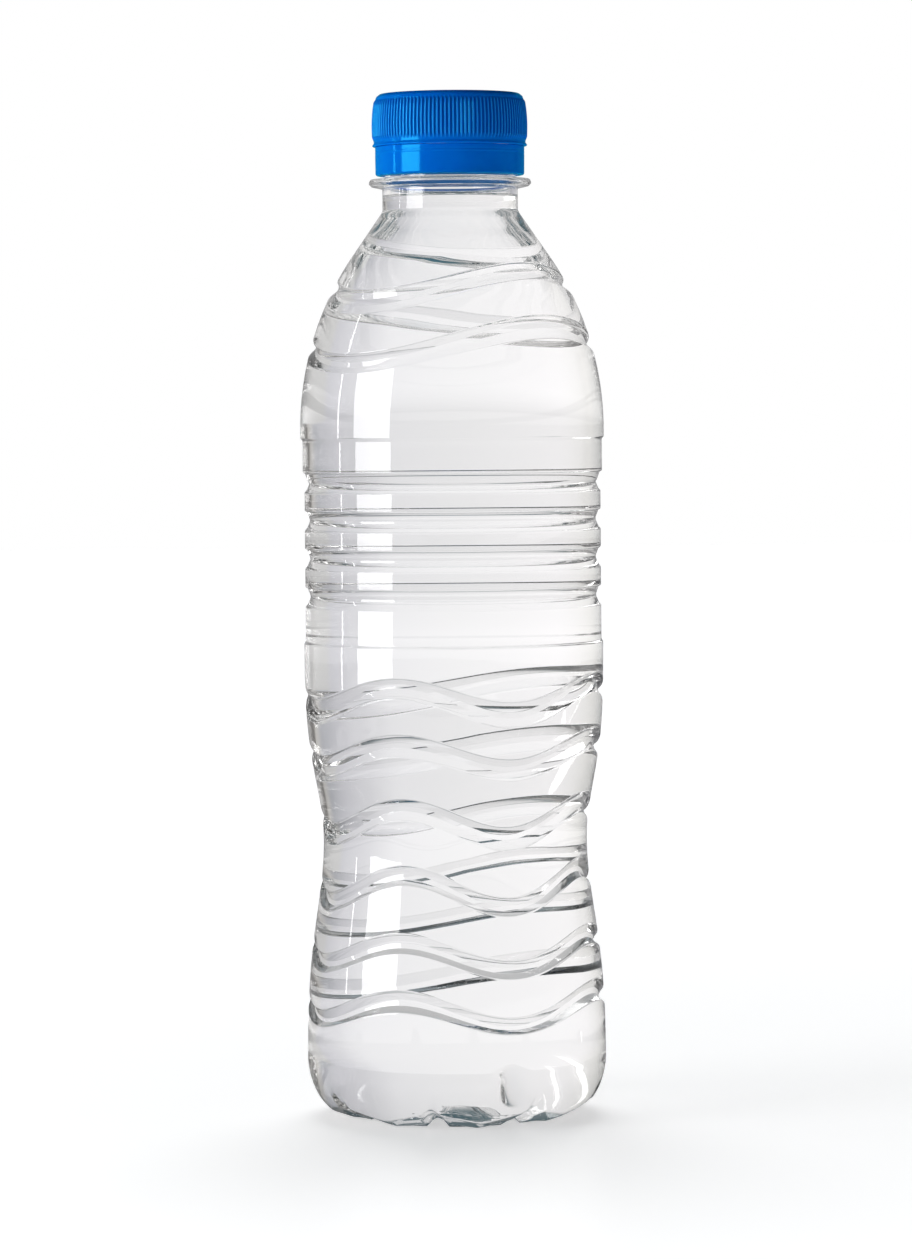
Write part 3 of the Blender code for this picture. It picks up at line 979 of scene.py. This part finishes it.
class MakeClosure(Operator):
    """Turn the cap and the tamper band, raise the cap's ribs and give both their plastic"""

    bl_idname = "bottle.make_closure"
    bl_label = "Cap and band"

    def execute(self, context):
        settings = context.scene.closure_settings
        plastic = moulded_blue("blue_hdpe", settings)
        # The inside's material paints a glow, an emission in place of the light that comes through the
        # wall
        glowing = painted_glow_inside("blue_hdpe_inside_painted_glow")
        cap = lathe("cap_fine", cap_outline(), settings.ribs * POINTS_A_RIB)
        raise_ribs(cap, settings)
        band = lathe("band_fine", band_outline(), context.scene.bottle_settings.segments)
        for piece, body, node in ((cap, "closure", "cap"), (band, "band", "tamper_band")):
            shade_by_area(piece)
            piece.data.materials.append(plastic)
            piece.data.materials.append(glowing)
            for face in piece.data.polygons:
                if face.center.xy.length < INSIDE_RADIUS and faces_axis(face):
                    face.material_index = 1
            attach(piece, body)
            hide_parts(node)
        return {"FINISHED"}


def cap_outline():
    """Closed (radius, height) outline of the cap: skirt, rounded top, flat crown, plug and inside."""
    inner_top = CAP_TOP - CROWN_THICKNESS
    plug_bottom = inner_top - PLUG_LENGTH
    skirt = rounded(
        (
            (CAP_FOOT_RADIUS, CAP_BOTTOM, 0),
            (16.25 * MM, CAP_BOTTOM, 0.12 * MM),
            (16.2 * MM, CAP_BOTTOM + 0.3 * MM, 0.1 * MM),
            (CAP_SIDE[0][1], CAP_SIDE[0][0], 0),
        )
    )
    side = [(between(CAP_SIDE, height), height) for height in rib_heights()]
    crown = rounded(
        (
            side[-1] + (0,),
            (15.35 * MM, CAP_TOP - 0.6 * MM, 0.5 * MM),
            (14.6 * MM, CAP_TOP, 0.6 * MM),
            (13.0 * MM, CAP_TOP, 0),
        )
    )
    flat_top = [(6.0 * MM, CAP_TOP), (0.0, CAP_TOP)]
    inside = rounded(
        (
            (0.0, inner_top, 0),
            (PLUG_INNER_RADIUS, inner_top, 0.3 * MM),
            (PLUG_INNER_RADIUS, plug_bottom, 0.2 * MM),
            (PLUG_OUTER_RADIUS, plug_bottom, 0.2 * MM),
            (PLUG_OUTER_RADIUS, inner_top, 0.2 * MM),
            (CAP_BORE_RADIUS, inner_top, 0.3 * MM),
            (CAP_BORE_RADIUS, CAP_BOTTOM, 0.15 * MM),
            (CAP_FOOT_RADIUS, CAP_BOTTOM, 0),
        )
    )
    return skirt + side[1:] + crown[1:] + flat_top + inside[:-1]


def rib_heights():
    """Heights of the rows up the ribbed side: close together where the ribs begin and end."""
    heights = [CAP_SIDE[0][0]]
    heights += stretch(heights[-1], RIB_BOTTOM + 1.0 * MM, 0.14 * MM)
    heights += stretch(heights[-1], RIB_TOP - 0.5 * MM, 1.2 * MM)
    heights += stretch(heights[-1], RIB_TOP + 0.1 * MM, 0.15 * MM)
    return heights


def raise_ribs(cap, settings):
    """Lifts the cap's side into fine round ribs, drawn to a point below and rounded off above."""
    pitch = TURN / settings.ribs
    for vertex in cap.data.vertices:
        x, y, height = vertex.co
        radius = math.hypot(x, y)
        if radius < INSIDE_RADIUS or not RIB_BOTTOM < height < RIB_TOP:
            continue
        across = radius * abs((math.atan2(y, x) + pitch / 2) % pitch - pitch / 2)
        ends = min((height - RIB_BOTTOM) / RIB_POINT, math.sqrt((RIB_TOP - height) / RIB_ROUNDING), 1.0)
        away = across / (ends * settings.rib_width / 2)
        if away < 1:
            share = 1 + ends * settings.rib_depth * math.sqrt(1 - away**4) / radius
            vertex.co = (x * share, y * share, height)
    cap.data.update()


def band_outline():
    """Closed (radius, height) outline of the tamper band: two scored lines outside, a catch lip inside."""
    top = CAP_BOTTOM - SLIT
    scores = []
    for height in SCORE_HEIGHTS:
        scores.append((BAND_RADIUS, height - SCORE_HALF_WIDTH, 0))
        scores.append((BAND_RADIUS - SCORE_DEPTH, height, 0))
        scores.append((BAND_RADIUS, height + SCORE_HALF_WIDTH, 0))
    return rounded(
        (
            (BAND_BORE_RADIUS, top, 0),
            (BAND_BORE_RADIUS, 199.1 * MM, 0.2 * MM),
            (CATCH_RADIUS, 198.3 * MM, 0.2 * MM),
            (CATCH_RADIUS, 197.4 * MM, 0.2 * MM),
            (14.4 * MM, BAND_BOTTOM, 0.1 * MM),
            (BAND_RADIUS - 0.05 * MM, BAND_BOTTOM, 0.45 * MM),
            *scores,
            (BAND_RADIUS, top, 0.12 * MM),
            (15.0 * MM, top, 0),
        )
    )


class SetStage(Operator):
    """Set the floor, the studio's light and the camera"""

    bl_idname = "bottle.set_stage"
    bl_label = "Stage"

    def execute(self, context):
        floor = add_floor()
        add_world()
        for softbox in SOFTBOXES:
            add_softbox(*softbox)
        add_floor_light(floor)
        add_camera(context.scene.stage_settings)
        context.scene.view_settings.view_transform = "Standard"
        context.scene.cycles.max_bounces = BOUNCES
        context.scene.cycles.glossy_bounces = BOUNCES
        context.scene.cycles.transmission_bounces = BOUNCES
        context.scene.cycles.transparent_max_bounces = SEE_THROUGH_BOUNCES
        return {"FINISHED"}


def add_floor():
    """A white floor that takes the bottle's shadow. The bottle sees it as part of the backdrop, with a
    painted shadow near it.
    """
    bpy.ops.object.select_all(action="DESELECT")
    bpy.ops.mesh.primitive_plane_add(size=FLOOR_SIZE)
    floor = bpy.context.object
    floor.name = "floor"
    material, tree, output = new_material("white_floor")
    place = place_node(tree, "ShaderNodeTexCoord").outputs["Object"]
    away = place_node(tree, "ShaderNodeVectorMath", {"operation": "LENGTH"}, {0: place})
    rays = place_node(tree, "ShaderNodeLightPath")
    mix = place_node(
        tree,
        "ShaderNodeMixShader",
        inputs={
            0: rays.outputs["Is Glossy Ray"],
            1: glowing_white(tree, away.outputs["Value"]),
            2: bottles_view(tree, place, away.outputs["Value"], rays),
        },
    )
    tree.links.new(mix.outputs[0], output.inputs["Surface"])
    floor.data.materials.append(material)
    return floor


def glowing_white(tree, distance):
    """Shader socket of matt white studio paper, with a light of its own that grows with the distance."""
    white = place_node(
        tree, "ShaderNodeBsdfPrincipled", inputs={"Base Color": linear("#F9F9F9"), "Roughness": 0.4}
    )
    (start, dim), (end, bright) = FLOOR_GLOW
    glow = place_node(
        tree,
        "ShaderNodeMapRange",
        inputs={"Value": distance, "From Min": start, "From Max": end, "To Min": dim, "To Max": bright},
    )
    light = place_node(
        tree, "ShaderNodeEmission", inputs={"Color": linear("#FFFDFD"), "Strength": glow.outputs["Result"]}
    )
    both = place_node(tree, "ShaderNodeAddShader", inputs={0: light.outputs[0], 1: white.outputs[0]})
    return both.outputs[0]


def bottles_view(tree, place, distance, rays):
    """Shader socket of the floor as the bottle sees it: the backdrop's light, with a painted shadow that
    makes it darker near the bottle.
    """
    # Painted shadow: this emission ramp darkens the floor towards the bottle
    reach = FLOOR_PAINTED_SHADOW[-1][0]
    out_share = place_node(tree, "ShaderNodeMapRange", inputs={"Value": distance, "From Max": reach * MM})
    painted_shadow_ramp = place_node(tree, "ShaderNodeValToRGB", inputs={"Fac": out_share.outputs["Result"]})
    set_stops(painted_shadow_ramp, [(millimetres / reach, colour) for millimetres, colour in FLOOR_PAINTED_SHADOW])
    axes = place_node(tree, "ShaderNodeSeparateXYZ", inputs={"Vector": place})
    least = place_node(
        tree,
        "ShaderNodeMapRange",
        inputs={
            "Value": axes.outputs["Y"],
            "From Min": -FLOOR_BLEND,
            "From Max": FLOOR_BLEND,
            "To Min": FLOOR_LEAST_NEAR,
            "To Max": FLOOR_LEAST_BEHIND,
        },
    )
    light_round = place_node(
        tree,
        "ShaderNodeMix",
        {"data_type": "RGBA", "blend_type": "LIGHTEN"},
        {"Factor": 1.0, "A": backdrop_round(tree, axes), "B": least.outputs["Result"]},
    )
    seen = place_node(
        tree,
        "ShaderNodeMix",
        {"data_type": "RGBA", "blend_type": "MULTIPLY"},
        {"Factor": 1.0, "A": light_round.outputs["Result"], "B": painted_shadow_ramp.outputs["Color"]},
    )
    strength = place_node(
        tree,
        "ShaderNodeMapRange",
        inputs={"Value": rays.outputs["Is Transmission Ray"], "To Min": MIRRORED, "To Max": FLOOR_THROUGH},
    )
    view = place_node(
        tree,
        "ShaderNodeEmission",
        inputs={"Color": seen.outputs["Result"], "Strength": strength.outputs["Result"]},
    )
    return view.outputs[0]


def backdrop_round(tree, axes):
    """Socket with the backdrop's light in the direction of the separated axes, round the bottle."""
    side = place_node(
        tree, "ShaderNodeMath", {"operation": "ARCTAN2"}, {0: axes.outputs["X"], 1: axes.outputs["Y"]}
    )
    share = place_node(
        tree,
        "ShaderNodeMapRange",
        inputs={"Value": side.outputs[0], "From Min": -math.pi, "From Max": math.pi},
    )
    ramp = place_node(tree, "ShaderNodeValToRGB", inputs={"Fac": share.outputs["Result"]})
    set_stops(ramp, [(degrees / 360 + 0.5, colour) for degrees, colour in BACKDROP_ROUND])
    return ramp.outputs["Color"]


def add_floor_light(floor):
    """A soft light from high up behind. It falls on the floor only and throws the shadow forward."""
    bpy.ops.object.select_all(action="DESELECT")
    bpy.ops.object.light_add(type="SUN", location=(0, 0.4, 1.2), rotation=(FLOOR_LAMP_TILT, 0, 0))
    lamp = bpy.context.object
    lamp.name = "floor_light"
    lamp.data.energy = FLOOR_LAMP_STRENGTH
    lamp.data.angle = FLOOR_LAMP_SPREAD
    lit = bpy.data.collections.new("floor_only")
    lit.objects.link(floor)
    lamp.light_linking.receiver_collection = lit


def add_world():
    """White to the camera. Round the bottle, a bright backdrop that darkens upwards and to the sides."""
    world = bpy.data.worlds.new("studio")
    bpy.context.scene.world = world
    world.use_nodes = True
    tree = world.node_tree
    tree.nodes.clear()
    place = place_node(tree, "ShaderNodeTexCoord").outputs["Generated"]
    axes = place_node(tree, "ShaderNodeSeparateXYZ", inputs={"Vector": place})
    up_share = place_node(
        tree, "ShaderNodeMapRange", inputs={"Value": axes.outputs["Z"], "From Min": -1.0, "From Max": 1.0}
    )
    up_ramp = place_node(tree, "ShaderNodeValToRGB", inputs={"Fac": up_share.outputs["Result"]})
    rising = [(math.sin(math.radians(degrees)) / 2 + 0.5, colour) for degrees, colour in BACKDROP_UP]
    set_stops(up_ramp, rising)
    both = place_node(
        tree,
        "ShaderNodeMix",
        {"data_type": "RGBA", "blend_type": "MULTIPLY"},
        {"Factor": 1.0, "A": backdrop_round(tree, axes), "B": up_ramp.outputs["Color"]},
    )
    rays = place_node(tree, "ShaderNodeLightPath")
    mirrored = place_node(
        tree,
        "ShaderNodeMath",
        {"operation": "SUBTRACT"},
        {0: rays.outputs["Is Glossy Ray"], 1: rays.outputs["Is Transmission Ray"]},
    )
    dimmed = place_node(
        tree,
        "ShaderNodeMapRange",
        inputs={"Value": mirrored.outputs[0], "To Min": 1.0, "To Max": MIRRORED},
    )
    studio = place_node(
        tree,
        "ShaderNodeBackground",
        inputs={"Color": both.outputs["Result"], "Strength": dimmed.outputs["Result"]},
    )
    white = place_node(tree, "ShaderNodeBackground", inputs={"Color": linear("#FFFFFF")})
    mix = place_node(
        tree,
        "ShaderNodeMixShader",
        inputs={0: rays.outputs["Is Camera Ray"], 1: studio.outputs[0], 2: white.outputs[0]},
    )
    place_node(tree, "ShaderNodeOutputWorld", inputs={"Surface": mix.outputs[0]})


def set_stops(ramp, stops):
    """Gives a colour ramp its (place, colour) stops."""
    elements = ramp.color_ramp.elements
    while len(elements) < len(stops):
        elements.new(0.5)
    for element, (place, colour) in zip(elements, stops):
        element.position = place
        element.color = (*colour, 1)


def add_softbox(name, azimuth, elevation, distance, width, height, radiance):
    """A rectangular lamp that faces the bottle, at degrees round from the camera's side and degrees up."""
    bpy.ops.object.select_all(action="DESELECT")
    turn = math.radians(azimuth)
    rise = math.radians(elevation)
    reach = distance * math.cos(rise)
    above = LAMP_AIM_HEIGHT + distance * math.sin(rise)
    bpy.ops.object.light_add(
        type="AREA",
        location=(reach * math.sin(turn), -reach * math.cos(turn), above),
        rotation=(math.pi / 2 - rise, 0, turn),
    )
    lamp = bpy.context.object
    lamp.name = name
    lamp.data.shape = "RECTANGLE"
    lamp.data.size = width
    lamp.data.size_y = height
    lamp.data.energy = radiance * math.pi * width * height
    lamp.visible_camera = False


def add_camera(settings):
    """Looks along +Y from in front. A small shift frames the bottle low, as it stands."""
    bpy.ops.object.select_all(action="DESELECT")
    bpy.ops.object.camera_add(location=(0, -settings.distance, settings.height))
    camera = bpy.context.object
    camera.name = "camera"
    aim = Matrix.Rotation(math.pi / 2 - settings.pitch, 4, "X")
    roll = Matrix.Rotation(CAMERA_ROLL, 4, "Z")
    camera.matrix_world = Matrix.Translation(camera.location) @ aim @ roll
    camera.data.lens = settings.lens
    camera.data.sensor_width = SENSOR_WIDTH
    camera.data.shift_x = CAMERA_SHIFT_X
    camera.data.shift_y = CAMERA_SHIFT_Y
    camera.data.clip_start = 0.01
    bpy.context.scene.camera = camera


class BottlePanel(Panel):
    """The bottle's sizes and the steps that build it"""

    bl_idname = "VIEW3D_PT_bottle"
    bl_label = "Water bottle"
    bl_space_type = "VIEW_3D"
    bl_region_type = "UI"
    bl_category = "Bottle"

    def draw(self, context):
        for name, group in GROUPS:
            for setting in group.__annotations__:
                self.layout.prop(getattr(context.scene, name), setting)
        for step in STEPS:
            self.layout.operator(step.bl_idname)


GROUPS = (
    ("bottle_settings", BottleSettings),
    ("closure_settings", ClosureSettings),
    ("stage_settings", StageSettings),
)
STEPS = (MakeBottle, MakeWater, MakeClosure, SetStage)


def register():
    """Makes the settings, the operators and the panel known to Blender."""
    for name, group in GROUPS:
        bpy.utils.register_class(group)
        setattr(bpy.types.Scene, name, PointerProperty(type=group))
    for step in STEPS:
        bpy.utils.register_class(step)
    bpy.utils.register_class(BottlePanel)


def unregister():
    """Takes the panel, the operators and the settings away again."""
    bpy.utils.unregister_class(BottlePanel)
    for step in reversed(STEPS):
        bpy.utils.unregister_class(step)
    for name, group in reversed(GROUPS):
        delattr(bpy.types.Scene, name)
        bpy.utils.unregister_class(group)


def main():
    """Builds the bottle and its stage."""
    register()
    bpy.ops.bottle.make_bottle()
    bpy.ops.bottle.make_water()
    bpy.ops.bottle.make_closure()
    bpy.ops.bottle.set_stage()


if __name__ == "__main__":
    main()
